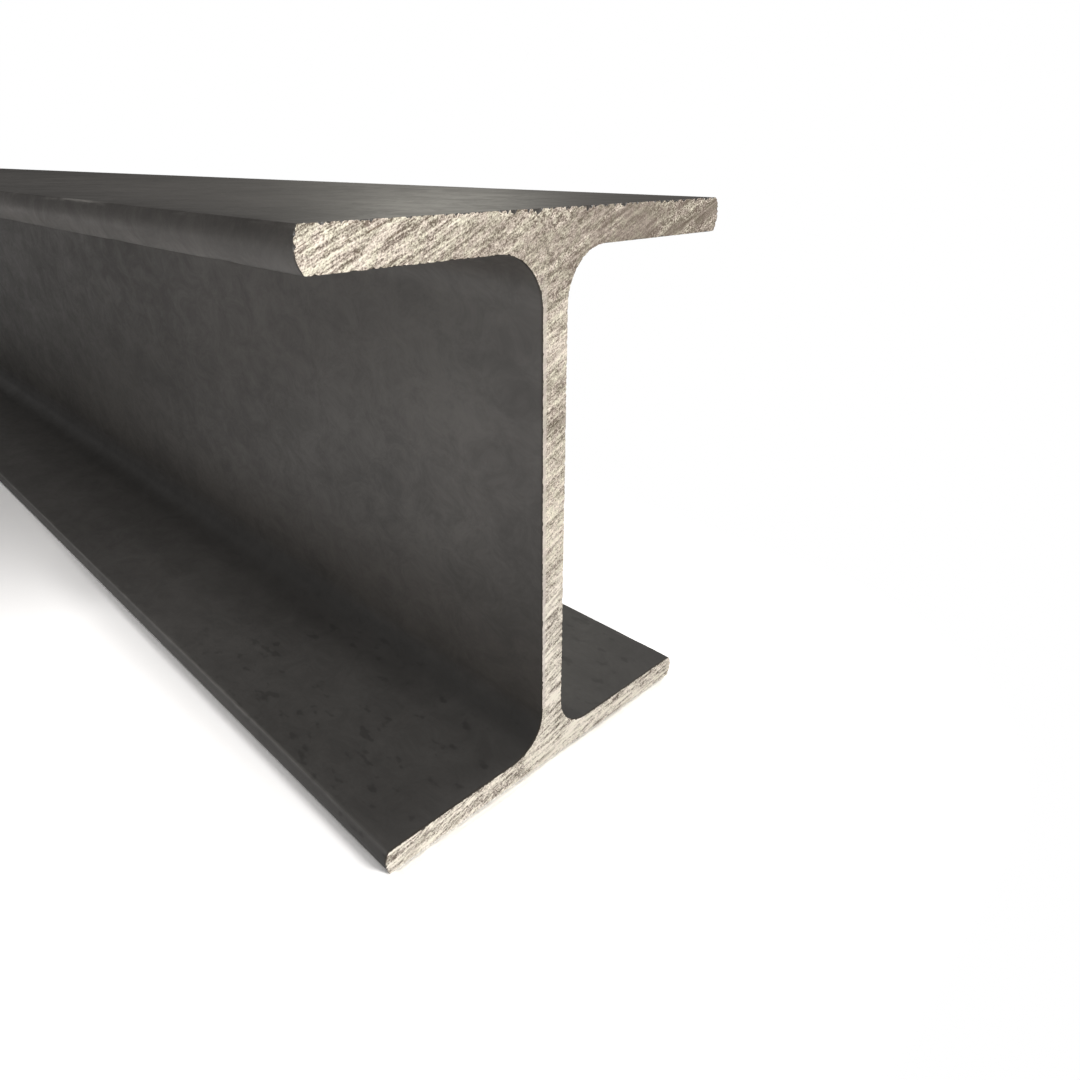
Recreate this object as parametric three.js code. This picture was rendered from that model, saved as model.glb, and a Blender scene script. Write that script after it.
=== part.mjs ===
// Steel I-beam: one straight length of hot-rolled, parallel-flange stock, sawn square at both ends.
// Millimetres, +Z up. It lies along Y on its lower flange, with the origin midway along its underside.

import * as THREE from "three";

// Driving dimensions
const beamLength = 1000; // between the two sawn ends
const sectionDepth = 188; // from the underside of the lower flange to the top of the upper one
const flangeWidth = 150; // across the crowned edges, at their fullest
const flangeThickness = 9.8;
const webThickness = 9.8;
const rootRadius = 15; // hollow between the web and each flange
const edgeCrown = 1.5; // how far the middle of a flange edge stands proud of its corners
const arrisRadius = 0.6; // round along each corner of a flange edge

// How smooth the outline is: every arc gets twice as many facets
const arcDivisions = 6;

// The outline is drawn in X and Z, anticlockwise, and has point symmetry about the middle of the web.
// Side 1 walks up the +X half of the section, and side -1 is the same walk after half a turn.
const quarterTurn = Math.PI / 2;
const sectionMiddle = sectionDepth / 2;

/** Adds an arc to the outline. Its centre lies x beyond the web's mid-plane and z above height level. */
function addArc(outline, side, level, arc) {
  const turn = side > 0 ? 0 : Math.PI;
  const clockwise = arc.to < arc.from;
  outline.absarc(side * arc.x, level + side * arc.z, arc.radius, turn + arc.from, turn + arc.to, clockwise);
}

/** One flange edge: a crowned face, blended into both flats of the flange by the arris rounds. */
function addFlangeEdge(outline, side, flangeMiddle) {
  const halfThickness = flangeThickness / 2;
  const crownRadius = (halfThickness ** 2 + edgeCrown ** 2) / (2 * edgeCrown);
  const crownX = flangeWidth / 2 - crownRadius;
  const arrisZ = halfThickness - arrisRadius;
  const arrisX = crownX + Math.sqrt((crownRadius - arrisRadius) ** 2 - arrisZ ** 2);
  const blend = Math.atan2(arrisZ, arrisX - crownX);

  const arcs = [
    { x: arrisX, z: -arrisZ, radius: arrisRadius, from: -quarterTurn, to: -blend },
    { x: crownX, z: 0, radius: crownRadius, from: -blend, to: blend },
    { x: arrisX, z: arrisZ, radius: arrisRadius, from: blend, to: quarterTurn },
  ];
  for (const arc of arcs) addArc(outline, side, flangeMiddle, arc);
}

/** One face of the web, with the root hollow at each end of it. */
function addWebFace(outline, side) {
  const x = webThickness / 2 + rootRadius;
  const z = sectionMiddle - flangeThickness - rootRadius;

  const hollows = [
    { x, z: -z, radius: rootRadius, from: 3 * quarterTurn, to: 2 * quarterTurn },
    { x, z, radius: rootRadius, from: 2 * quarterTurn, to: quarterTurn },
  ];
  for (const hollow of hollows) addArc(outline, side, sectionMiddle, hollow);
}

/** The rolled section. Its flats are the straight lines between one arc and the next. */
function makeSection() {
  const outline = new THREE.Shape();
  const flangeOffset = (sectionDepth - flangeThickness) / 2;
  for (const side of [1, -1]) {
    addFlangeEdge(outline, side, sectionMiddle - side * flangeOffset);
    addWebFace(outline, side);
    addFlangeEdge(outline, side, sectionMiddle + side * flangeOffset);
  }
  return outline;
}

/** The beam, stood on its lower flange with the middle of its length at Y = 0. */
function makeBeam() {
  const stock = new THREE.ExtrudeGeometry(makeSection(), {
    depth: beamLength,
    curveSegments: arcDivisions,
    bevelEnabled: false,
  });
  const millScale = new THREE.MeshStandardMaterial({ color: 0x4b4945, roughness: 0.55, metalness: 0.6 });
  const beam = new THREE.Mesh(stock, millScale);
  beam.name = "i_beam";
  beam.rotation.x = quarterTurn;
  beam.position.y = beamLength / 2;
  return beam;
}

const part = new THREE.Group();
part.add(makeBeam());

export default part;
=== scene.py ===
"""A length of hot rolled steel I-beam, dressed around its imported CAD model.

The beam is one rolled piece. Its skin is the dark scale that the rolls left, and each end is a bright saw
cut. Lengths are metres in the frame's own axes: X across the flanges, Y along the beam and Z up.
"""

import logging
import math
from dataclasses import dataclass, field
from enum import Enum

import bpy
import numpy as np
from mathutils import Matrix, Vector, geometry, noise


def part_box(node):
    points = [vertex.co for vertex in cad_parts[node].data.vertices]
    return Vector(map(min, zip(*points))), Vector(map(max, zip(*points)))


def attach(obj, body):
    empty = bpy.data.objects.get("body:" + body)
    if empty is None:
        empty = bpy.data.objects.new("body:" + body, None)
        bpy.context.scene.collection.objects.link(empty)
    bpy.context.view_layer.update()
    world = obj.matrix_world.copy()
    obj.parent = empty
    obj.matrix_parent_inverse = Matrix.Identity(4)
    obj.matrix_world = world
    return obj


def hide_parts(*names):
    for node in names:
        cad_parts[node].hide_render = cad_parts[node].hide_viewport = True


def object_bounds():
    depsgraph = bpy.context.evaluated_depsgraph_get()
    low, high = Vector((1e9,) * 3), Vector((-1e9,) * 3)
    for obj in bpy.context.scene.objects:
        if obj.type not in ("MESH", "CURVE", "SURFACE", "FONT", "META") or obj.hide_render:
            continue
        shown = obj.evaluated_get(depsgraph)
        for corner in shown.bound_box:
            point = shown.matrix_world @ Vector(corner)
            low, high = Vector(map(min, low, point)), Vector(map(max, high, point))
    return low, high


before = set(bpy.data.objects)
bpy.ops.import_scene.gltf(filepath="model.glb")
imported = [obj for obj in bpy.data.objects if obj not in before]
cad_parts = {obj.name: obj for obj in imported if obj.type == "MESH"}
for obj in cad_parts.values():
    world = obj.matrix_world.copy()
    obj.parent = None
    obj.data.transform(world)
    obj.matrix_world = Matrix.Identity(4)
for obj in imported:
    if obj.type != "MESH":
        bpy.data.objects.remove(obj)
CAD_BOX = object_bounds()
LOG = logging.getLogger("i_beam")

MM = 0.001
NODE = "i_beam"
BAKE_MAP = "OFBake"
# What the triangulation calls keeping to the inside of its loops
INSIDE_ONLY = 1
# The Mix node's sockets for colours, by number because it has others of the same names
MIX_SHARE, MIX_FIRST, MIX_SECOND, MIX_RESULT = 0, 6, 7, 2

Lengths = tuple[float, float, float]
Colour = tuple[float, float, float, float]
# Where a ramp starts and ends, then its results there unless they are 0 and 1
Span = tuple[float, ...]

WHITE: Colour = (1.0, 1.0, 1.0, 1.0)
ROOM_TINT: Colour = (1.0, 0.975, 0.955, 1.0)


class Mark(Enum):
    """The values that the mesh hands to its finishes, one number a point."""

    ACROSS_SAW = "across_saw"
    SAW_DEPTH = "saw_depth"
    MARGIN = "margin"
    ARRIS = "arris"


class Band(Enum):
    """The three stretches of a cut end, from the floor up."""

    FOOT = 0
    HEAD = 1
    WEB = 2


def smooth_step(value: np.ndarray, low: float, high: float) -> np.ndarray:
    """Rises from 0 to 1 as the value goes from low to high, level at both."""
    share = np.clip((value - low) / (high - low), 0.0, 1.0)
    return share * share * (3.0 - 2.0 * share)


def noise_at(places: np.ndarray, lengths: Lengths, seed: float) -> np.ndarray:
    """Gives soft noise from about -1 to 1 at each place, whose marks are as long as the lengths."""
    scaled = places / np.array(lengths) + seed
    return np.array([noise.noise(Vector(place)) for place in scaled])


def within(points: np.ndarray, loop: np.ndarray) -> np.ndarray:
    """Tells which points lie inside a closed loop, by counting the sides that a line from each one crosses.

    Args:
        points: One point a row.
        loop: The loop's corners, in order.

    Returns:
        True for each point inside.
    """
    x, y = points.T
    inside = np.zeros(len(points), bool)
    for (ax, ay), (bx, by) in zip(loop, np.roll(loop, -1, axis=0)):
        if ay != by:
            inside ^= ((ay > y) != (by > y)) & (x < ax + (bx - ax) * (y - ay) / (by - ay))
    return inside


# ----- The section -----


@dataclass(frozen=True)
class Outline:
    """A closed line around the section, anticlockwise with X to the right and Z up.

    Wide tells the points that start a column, and arris is 1 on a corner round.
    """

    points: np.ndarray
    normals: np.ndarray
    wide: np.ndarray
    arris: np.ndarray

    @property
    def around(self) -> np.ndarray:
        """Counts the share of the way round at each point, with the first point again at the end.

        Returns:
            The shares, from 0 to 1.
        """
        closed = np.vstack([self.points, self.points[:1]])
        steps = np.linalg.norm(np.diff(closed, axis=0), axis=1)
        return np.concatenate([[0.0], np.cumsum(steps)]) / steps.sum()


@dataclass
class OutlineWalk:
    """Collects the straights and arcs of an outline, each cut into columns and those into short steps."""

    step: float
    stretches: list[np.ndarray] = field(default_factory=list)

    def take(self, points: np.ndarray, normals: np.ndarray, steps: int, arris: float) -> None:
        """Adds a stretch in columns of so many steps, without its end, which the next stretch starts with."""
        starts = np.arange(len(points)) % steps == 0
        self.stretches.append(np.column_stack([points, normals, starts, np.full(len(points), arris)])[:-1])

    def straight(self, start: tuple[float, float], end: tuple[float, float], columns: int) -> None:
        """Adds a straight stretch whose outside is on its right.

        Args:
            start: Where it starts.
            end: Where it ends.
            columns: How many columns it is cut into.
        """
        first, last = np.array(start), np.array(end)
        run = last - first
        length = float(np.linalg.norm(run))
        steps = max(1, math.ceil(length / columns / self.step))
        share = np.linspace(0.0, 1.0, columns * steps + 1)[:, None]
        outward = np.array([run[1], -run[0]]) / length
        self.take(first + share * run, np.tile(outward, (len(share), 1)), steps, 0.0)

    def arc(self, centre: tuple[float, float], radius: float, turn: tuple[float, float], columns: int,
            arris: float = 0.0) -> None:
        """Adds a round stretch, convex where it turns anticlockwise and hollow where it turns clockwise.

        Args:
            centre: The arc's centre.
            radius: The arc's radius.
            turn: The first and last angle, in radians.
            columns: How many columns it is cut into.
            arris: 1 on a corner round, 0 elsewhere.
        """
        length = radius * abs(turn[1] - turn[0])
        steps = max(1, math.ceil(length / columns / self.step))
        angles = np.linspace(turn[0], turn[1], columns * steps + 1)
        radial = np.stack([np.cos(angles), np.sin(angles)], axis=1)
        outward = radial if turn[1] > turn[0] else -radial
        self.take(np.array(centre) + radius * radial, outward, steps, arris)


@dataclass(frozen=True)
class RolledSection:
    """The rolled shape: two flanges with crowned edges, a web, and a hollow in each root."""

    width: float
    depth: float
    flange: float = 9.8 * MM
    web: float = 9.8 * MM
    root: float = 15.0 * MM
    crown: float = 1.5 * MM
    arris: float = 0.6 * MM
    column: float = 5.0 * MM
    step: float = 0.4 * MM
    crown_columns: int = 8
    root_columns: int = 8
    arris_columns: int = 3
    inner_from: tuple[float, float] = (3.0 * MM, 7.0 * MM)

    @property
    def crown_radius(self) -> float:
        """The radius of a flange's rounded edge."""
        half = self.flange / 2
        return (half * half + self.crown * self.crown) / (2 * self.crown)

    @property
    def crown_centre(self) -> float:
        """How far from the middle the centre of a flange's rounded edge lies."""
        return self.width / 2 - self.crown_radius

    @property
    def root_reach(self) -> float:
        """How far from the middle a root hollow meets its flange."""
        return self.web / 2 + self.root

    @property
    def root_height(self) -> float:
        """How far above its flange's outer face a root hollow meets the web."""
        return self.flange + self.root

    def columns_in(self, length: float) -> int:
        """How many columns a straight stretch is cut into."""
        return max(1, round(length / self.column))

    def quarter(self) -> OutlineWalk:
        """Walks from the middle of the underside, round the right edge and up to the middle of the web.

        Returns:
            The quarter's stretches.
        """
        half = self.flange / 2
        rise = half - self.arris
        round_x = self.crown_centre + math.sqrt((self.crown_radius - self.arris) ** 2 - rise ** 2)
        lean = math.atan2(rise, round_x - self.crown_centre)
        upper = self.flange - self.arris
        right = math.pi / 2
        walk = OutlineWalk(self.step)
        walk.straight((0.0, 0.0), (round_x, 0.0), self.columns_in(round_x))
        walk.arc((round_x, self.arris), self.arris, (-right, -lean), self.arris_columns, arris=1.0)
        walk.arc((self.crown_centre, half), self.crown_radius, (-lean, lean), self.crown_columns)
        walk.arc((round_x, upper), self.arris, (lean, right), self.arris_columns, arris=1.0)
        walk.straight((round_x, self.flange), (self.root_reach, self.flange),
                      self.columns_in(round_x - self.root_reach))
        walk.arc((self.root_reach, self.root_height), self.root, (3 * right, 2 * right), self.root_columns)
        walk.straight((self.web / 2, self.root_height), (self.web / 2, self.depth / 2),
                      self.columns_in(self.depth / 2 - self.root_height))
        return walk

    def outline(self) -> Outline:
        """Mirrors the quarter into the whole section.

        Returns:
            The closed outline, from the middle of the underside.
        """
        # Each row holds a place, an outward normal, 1 where a column starts, and 1 on a corner round
        web_middle = [self.web / 2, self.depth / 2, 1.0, 0.0, 1.0, 0.0]
        lower = np.vstack([*self.quarter().stretches, web_middle])
        upper = lower * [1, -1, 1, -1, 1, 1] + [0.0, self.depth, 0.0, 0.0, 0.0, 0.0]
        to_left = [-1, 1, -1, 1, 1, 1]
        quarters = (lower, upper[::-1], upper * to_left, lower[::-1] * to_left)
        rows = np.vstack([quarter[:-1] for quarter in quarters])
        return Outline(points=rows[:, :2], normals=rows[:, 2:4], wide=rows[:, 4] > 0, arris=rows[:, 5])

    def clearance(self, x: np.ndarray, z: np.ndarray) -> np.ndarray:
        """Measures how deep a point of the section lies in the metal.

        Args:
            x: Places across the flanges.
            z: Heights.

        Returns:
            The distance to the nearest edge, below 0 outside the metal.
        """
        out = np.abs(x)
        up = np.minimum(z, self.depth - z)
        hollow = np.hypot(out - self.root_reach, up - self.root_height) - self.root
        inner = np.where(out >= self.root_reach, self.flange - up,
                         np.where(up >= self.root_height, self.web / 2 - out, hollow))
        edge = self.crown_radius - np.hypot(out - self.crown_centre, up - self.flange / 2)
        edge = np.where(out > self.crown_centre, edge, self.width)
        return np.minimum(np.minimum(inner, up), edge)


# ----- The relief that rolling and sawing leave -----


@dataclass(frozen=True)
class RolledRelief:
    """How far the skin lies under its full size."""

    swell_depth: float = 0.06 * MM
    swell_lengths: Lengths = (45 * MM, 110 * MM, 45 * MM)
    swell_seed: float = 11.3
    arris_depth: float = 0.34 * MM
    arris_lengths: Lengths = (30 * MM, 14 * MM, 5 * MM)
    arris_seed: float = 22.6
    arris_reach: float = 1.6 * MM
    outer_share: float = 0.12

    def depth(self, places: np.ndarray, arris: np.ndarray, inner: np.ndarray) -> np.ndarray:
        """Works out how far each point of the skin sinks along its normal.

        Args:
            places: The skin's points at full size.
            arris: How near each point is to a corner round, from 0 to 1.
            inner: 1 between the flanges, 0 on their outer faces.

        Returns:
            The depth at each point, never below 0.
        """
        swell = (1.0 + noise_at(places, self.swell_lengths, self.swell_seed)) / 2
        wave = np.clip(noise_at(places, self.arris_lengths, self.arris_seed), 0.0, None)
        worn = arris * (self.outer_share + (1.0 - self.outer_share) * inner)
        return np.clip(self.swell_depth * swell + self.arris_depth * wave * worn, 0.0, None)


@dataclass(frozen=True)
class SawMarks:
    """The blade's grooves, which rise to one side, bent over the foot and straight further up."""

    foot_slant: float = math.tan(math.radians(18))
    foot_bow: float = 1.75
    web_slant: float = math.tan(math.radians(23))
    head_slant: float = math.tan(math.radians(22))
    ridge_depth: float = 0.09 * MM
    ridge_lengths: Lengths = (22 * MM, 1.0, 1.25 * MM)
    fine_depth: float = 0.05 * MM
    fine_lengths: Lengths = (9 * MM, 1.0, 0.62 * MM)
    fine_seed: float = 5.5
    groove: tuple[float, float] = (0.5, 0.8)
    foot_turn: Span = (14 * MM, 36 * MM)
    head_turn: Span = (30 * MM, 10 * MM)

    @property
    def deepest(self) -> float:
        """The deepest that a groove goes."""
        return self.ridge_depth + self.fine_depth

    def across(self, x: np.ndarray, z: np.ndarray, depth: float) -> np.ndarray:
        """Measures across the grooves.

        Args:
            x: Places across the flanges.
            z: Heights.
            depth: The section's whole height.

        Returns:
            A number that is the same all along a groove.
        """
        web = smooth_step(z, *self.foot_turn)
        head = smooth_step(z, depth - self.head_turn[0], depth - self.head_turn[1])
        rise = x * self.foot_slant - x * x * self.foot_bow
        rise = rise + (x * self.web_slant - rise) * web
        rise = rise + (x * self.head_slant - rise) * head
        return z - rise

    def depth(self, x: np.ndarray, across: np.ndarray, seed: float) -> np.ndarray:
        """Works out how far the blade cut in.

        Args:
            x: Places across the flanges.
            across: Places across the grooves.
            seed: Sets one end apart from the other.

        Returns:
            The depth at each point, from 0 to the deepest.
        """
        places = np.stack([x, np.zeros_like(x), across], axis=1)
        mean, swing = self.groove
        ridge = mean + swing * noise_at(places, self.ridge_lengths, seed)
        fine = mean + swing * noise_at(places, self.fine_lengths, seed + self.fine_seed)
        return np.clip(self.ridge_depth * ridge + self.fine_depth * fine, 0.0, self.deepest)


@dataclass(frozen=True)
class TornCorner:
    """The corner between the skin and a cut, which the blade chipped here and there.

    Its shares are of the deepest chip: on each flange's outer face, between the flanges, on the web, and how
    much less a corner round loses.
    """

    inward: float = 1.3 * MM
    back: float = 0.3 * MM
    layers: tuple[tuple[float, float], ...] = ((0.8 * MM, 1.0), (2.2 * MM, 0.7))
    seeds: tuple[float, float] = (31.7, 32.7)
    bias: float = 0.05
    low: Span = (50.0 * MM, 30.0 * MM)
    foot: float = 0.72
    foot_inner: float = 0.95
    head: tuple[float, float] = (0.68, 1.1)
    head_from: Span = (-40.0 * MM, -15.0 * MM)
    head_inner: float = 0.3
    web: float = 0.5
    web_from: Span = (26.0 * MM, 10.0 * MM)
    off_arris: float = 0.62

    def shares(self, points: np.ndarray, inner: np.ndarray, arris: np.ndarray) -> np.ndarray:
        """Works out how deep the blade can tear the corner at each point of the outline.

        Args:
            points: The outline's points.
            inner: 1 between the flanges, 0 on their outer faces.
            arris: How near each point is to a corner round, from 0 to 1.

        Returns:
            A share of the deepest for each point.
        """
        x, up = points.T
        low = smooth_step(up, *self.low)
        flat, steep = self.head
        outer = flat + (steep - flat) * smooth_step(x, *self.head_from)
        outer = outer + (self.foot - outer) * low
        between = self.head_inner + (self.foot_inner - self.head_inner) * low
        web = smooth_step(np.abs(x), *self.web_from) * inner
        share = (outer + (between - outer) * inner) * (1.0 - (1.0 - self.web) * web * low)
        return share * (1.0 - self.off_arris * arris)

    def tear(self, places: np.ndarray, shares: np.ndarray, back: bool) -> np.ndarray:
        """Chips the corner.

        Args:
            places: The corner's points.
            shares: How deep the blade can tear each of them.
            back: True on the far end.

        Returns:
            The chip at each point, as a share of the deepest.
        """
        tear = self.bias + sum(share * noise_at(places, (length, 1.0, length), self.seeds[back])
                               for length, share in self.layers)
        return np.clip(tear, 0.0, 1.0) * shares


# ----- The bake map -----


@dataclass(frozen=True)
class BakeSheet:
    """Lays the surface out on the square bake map: strips of both cut ends below, the skin above."""

    section: RolledSection
    side: float = 1024.0
    gap: float = 6.0
    cut_scale: float = 3350.0

    @property
    def strip(self) -> float:
        """The height of a flange's strip, in pixels."""
        return self.section.root_height * self.cut_scale

    @property
    def skin_foot(self) -> float:
        """Where the skin's part starts, in pixels up the sheet."""
        return 2 * (self.strip + self.gap) + self.section.web * self.cut_scale + 2 * self.gap

    def band(self, height: float) -> Band:
        """Tells which strip a face on a cut end belongs to.

        Args:
            height: The height of the face's middle.

        Returns:
            The strip.
        """
        if height < self.section.root_height:
            return Band.FOOT
        return Band.HEAD if height > self.section.depth - self.section.root_height else Band.WEB

    def on_cut(self, x: float, z: float, band: Band, back: bool) -> tuple[float, float]:
        """Places a corner of a cut end.

        Args:
            x: Its place across the flanges.
            z: Its height.
            band: The strip that its face belongs to.
            back: True on the far end.

        Returns:
            The corner's place on the map, from 0 to 1.
        """
        shape = self.section
        side = -x if back else x
        left = self.gap + (shape.width * self.cut_scale + self.gap) * back
        foot = self.gap + (self.strip + self.gap) * band.value
        if band is Band.WEB:
            over, up = z - shape.root_height, side + shape.web / 2
        else:
            over, up = side + shape.width / 2, z - (shape.depth - shape.root_height) * band.value
        return (left + over * self.cut_scale) / self.side, (foot + up * self.cut_scale) / self.side

    def on_skin(self, around: float, along: float) -> tuple[float, float]:
        """Places a corner of the skin.

        Args:
            around: The share of the way round the section.
            along: The share of the way along the beam.

        Returns:
            The corner's place on the map, from 0 to 1.
        """
        room = self.side - 2 * self.gap
        rise = self.side - self.gap - self.skin_foot
        return (self.gap + around * room) / self.side, (self.skin_foot + along * rise) / self.side


# ----- The beam's mesh -----


@dataclass(frozen=True)
class Row:
    """One loop of points around the skin."""

    along: float
    columns: np.ndarray
    flat: np.ndarray
    first: int

    def point(self, place: int) -> int:
        """The mesh's number for the point at a place in this row, counted round and round."""
        return self.first + place % len(self.columns)


@dataclass
class MeshStock:
    """Gathers a mesh's points, faces, map corners, finishes and marks."""

    points: list[np.ndarray] = field(default_factory=list)
    marks: dict[Mark, list[np.ndarray]] = field(default_factory=lambda: {mark: [] for mark in Mark})
    faces: list[tuple[int, ...]] = field(default_factory=list)
    corners: list[tuple[float, float]] = field(default_factory=list)
    finishes: list[int] = field(default_factory=list)
    count: int = 0

    def add_points(self, points: np.ndarray, marks: dict[Mark, np.ndarray]) -> int:
        """Adds points with their marks, and 0 for a mark that isn't given.

        Args:
            points: One point a row.
            marks: The marks that these points have.

        Returns:
            The number of the first point.
        """
        first = self.count
        self.points.append(points)
        for mark, values in self.marks.items():
            values.append(marks.get(mark, np.zeros(len(points))))
        self.count += len(points)
        return first

    def add_face(self, corners: list[int], places: list[tuple[float, float]], finish: int) -> None:
        """Adds one face.

        Args:
            corners: Its points, anticlockwise from outside.
            places: Each corner's place on the bake map.
            finish: The number of its finish.
        """
        self.faces.append(tuple(corners))
        self.corners.extend(places)
        self.finishes.append(finish)

    def make(self, name: str) -> bpy.types.Object:
        """Makes the object.

        Args:
            name: The object's name.

        Returns:
            The object, in the scene.
        """
        mesh = bpy.data.meshes.new(name)
        mesh.from_pydata(np.vstack(self.points).tolist(), [], self.faces)
        layer = mesh.uv_layers.new(name=BAKE_MAP)
        layer.data.foreach_set("uv", np.array(self.corners, np.float32).ravel())
        mesh.polygons.foreach_set("material_index", self.finishes)
        for mark, values in self.marks.items():
            attribute = mesh.attributes.new(mark.value, "FLOAT", "POINT")
            attribute.data.foreach_set("value", np.concatenate(values).astype(np.float32))
        mesh.shade_smooth()
        mesh.update()
        piece = bpy.data.objects.new(name, mesh)
        bpy.context.scene.collection.objects.link(piece)
        return piece


@dataclass
class RolledBeam:
    """The whole beam: a swept skin between two sawn ends, as one closed mesh."""

    section: RolledSection
    length: float
    name: str = "rolled_beam"
    row_pitch: float = 5.0 * MM
    close_rows: tuple[float, ...] = (0.0, 0.35 * MM, 1.1 * MM)
    cut_pitch: float = 0.56 * MM
    cut_margin: float = 0.32 * MM
    saw_seeds: tuple[float, float] = (3.9, 47.2)
    sole: float = 1.0 * MM
    crease: float = math.radians(35)
    weld: float = 1e-12
    skin_finish: int = 0
    cut_finish: int = 1
    relief: RolledRelief = field(default_factory=RolledRelief)
    saw: SawMarks = field(default_factory=SawMarks)
    corner: TornCorner = field(default_factory=TornCorner)
    stock: MeshStock = field(default_factory=MeshStock)

    def __post_init__(self) -> None:
        """Works out the outline and the bake map once."""
        self.line = self.section.outline()
        self.sheet = BakeSheet(self.section)
        self.around = self.line.around
        self.arris = self.soft_arris()
        up = self.line.points[:, 1]
        self.inner = smooth_step(np.minimum(up, self.section.depth - up), *self.section.inner_from)
        self.tears = self.corner.shares(self.line.points, self.inner, self.arris)

    def soft_arris(self) -> np.ndarray:
        """Spreads the mark of a corner round to the points beside it.

        Returns:
            One number from 0 to 1 for each point of the outline.
        """
        rounds = self.line.points[self.line.arris > 0]
        gaps = np.linalg.norm(self.line.points[:, None] - rounds[None], axis=2).min(axis=1)
        return np.exp(-((gaps / self.relief.arris_reach) ** 2))

    def add_row(self, along: float, dense: bool) -> Row:
        """Adds one loop of the skin.

        Args:
            along: Its distance from the front end.
            dense: True for every point of the outline, False for one a column.

        Returns:
            The row.
        """
        columns = np.arange(len(self.line.points)) if dense else np.flatnonzero(self.line.wide)
        flat, normals = self.line.points[columns], self.line.normals[columns]
        arris, inner = self.arris[columns], self.inner[columns]
        y = np.full(len(columns), along - self.length / 2)
        places = np.stack([flat[:, 0], y, flat[:, 1]], axis=1)
        depth = self.relief.depth(places, arris, inner)
        marks = {Mark.ARRIS: arris, Mark.MARGIN: np.full(len(columns), min(along, self.length - along))}
        at_end = along in (0.0, self.length)
        if at_end:
            depth, places[:, 1] = self.nicked(places, depth, along > 0)
            marks |= self.saw_marks_at(flat, along > 0)
        places[:, 0] -= normals[:, 0] * depth
        places[:, 2] -= normals[:, 1] * depth
        return Row(along, columns, places[:, [0, 2]], self.stock.add_points(places, marks))

    def nicked(self, places: np.ndarray, depth: np.ndarray, back: bool) -> tuple[np.ndarray, np.ndarray]:
        """Chips the corner between the skin and a cut, where the blade tore it.

        Args:
            places: The corner's points at full size.
            depth: How far the skin's relief sinks them.
            back: True on the far end.

        Returns:
            The new depths, and the new places along the beam.
        """
        tear = self.corner.tear(places, self.tears, back)
        cut = self.saw_marks_at(places[:, [0, 2]], back)[Mark.SAW_DEPTH] * self.saw.deepest
        inward = -1.0 if back else 1.0
        return depth + self.corner.inward * tear, places[:, 1] + inward * (cut + self.corner.back * tear)

    def saw_marks_at(self, flat: np.ndarray, back: bool) -> dict[Mark, np.ndarray]:
        """Works out the saw's marks at points of a cut end.

        Args:
            flat: Places across the flanges and heights.
            back: True on the far end.

        Returns:
            The place across the grooves, and the depth as a share of the deepest.
        """
        x = -flat[:, 0] if back else flat[:, 0]
        across = self.saw.across(x, flat[:, 1], self.section.depth)
        depth = self.saw.depth(x, across, self.saw_seeds[back])
        return {Mark.ACROSS_SAW: across, Mark.SAW_DEPTH: depth / self.saw.deepest}

    def join_rows(self, near: Row, far: Row) -> None:
        """Covers the strip between two rows with the same columns.

        Args:
            near: The row nearer the front.
            far: The row behind it.
        """
        count = len(near.columns)
        ends = np.append(self.around[near.columns], 1.0)
        low, high = near.along / self.length, far.along / self.length
        torn = near.along == 0.0 or far.along == self.length
        bare = torn & (self.line.points[near.columns, 1] < self.sole)
        for place in range(count):
            corners = [near.point(place), far.point(place), far.point(place + 1), near.point(place + 1)]
            here, there = ends[place], ends[place + 1]
            spots = [(here, low), (here, high), (there, high), (there, low)]
            finish = self.cut_finish if bare[place] and bare[(place + 1) % count] else self.skin_finish
            self.stock.add_face(corners, [self.sheet.on_skin(*spot) for spot in spots], finish)

    def fan_rows(self, dense: Row, wide: Row) -> None:
        """Covers the strip between a dense row and a wide one with fans of triangles.

        Args:
            dense: The row with every point of the outline.
            wide: The row with one point a column.
        """
        dense_ends, wide_ends = self.around, np.append(self.around[wide.columns], 1.0)
        starts = np.append(wide.columns, len(dense.columns))
        flip = dense.along > wide.along

        def add(corners: list[tuple[Row, int]]) -> None:
            """Adds one triangle, turned over where the dense row is behind.

            Args:
                corners: The row of each corner, and its place there.
            """
            ordered = corners[::-1] if flip else corners
            spots = [((dense_ends if row is dense else wide_ends)[place], row.along / self.length)
                     for row, place in ordered]
            self.stock.add_face([row.point(place) for row, place in ordered],
                                [self.sheet.on_skin(*spot) for spot in spots], self.skin_finish)

        for column in range(len(wide.columns)):
            first, last = int(starts[column]), int(starts[column + 1])
            middle = (first + last) // 2
            for place in range(first, last):
                add([(dense, place), (wide, column + (place >= middle)), (dense, place + 1)])
            add([(dense, middle), (wide, column), (wide, column + 1)])

    def cut_points(self, rim: np.ndarray) -> np.ndarray:
        """Spreads points in a triangular pattern over the section, clear of its torn rim.

        Args:
            rim: The points round the cut, in order.

        Returns:
            The points, across the flanges and up.
        """
        lift = self.cut_pitch * math.sqrt(3) / 2
        levels = np.arange(lift, self.section.depth, lift)
        half = self.section.width / 2
        spread = np.arange(-half, half, self.cut_pitch)
        x, z = np.meshgrid(spread, levels)
        x = x + (np.arange(len(levels)) % 2)[:, None] * self.cut_pitch / 2
        x, z = x.ravel(), z.ravel()
        clear = self.section.clearance(x, z)
        points = np.stack([x, z], axis=1)[clear > self.cut_margin]
        close = clear[clear > self.cut_margin] < self.corner.inward + self.cut_margin
        gaps = np.array([np.hypot(*(rim - point).T).min() for point in points[close]])
        kept = ~close
        kept[close] = (gaps > self.cut_margin) & within(points[close], rim)
        return points[kept]

    def add_cut(self, row: Row, back: bool) -> None:
        """Closes one end with a sawn face.

        Args:
            row: The skin's row at that end.
            back: True on the far end.
        """
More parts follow.
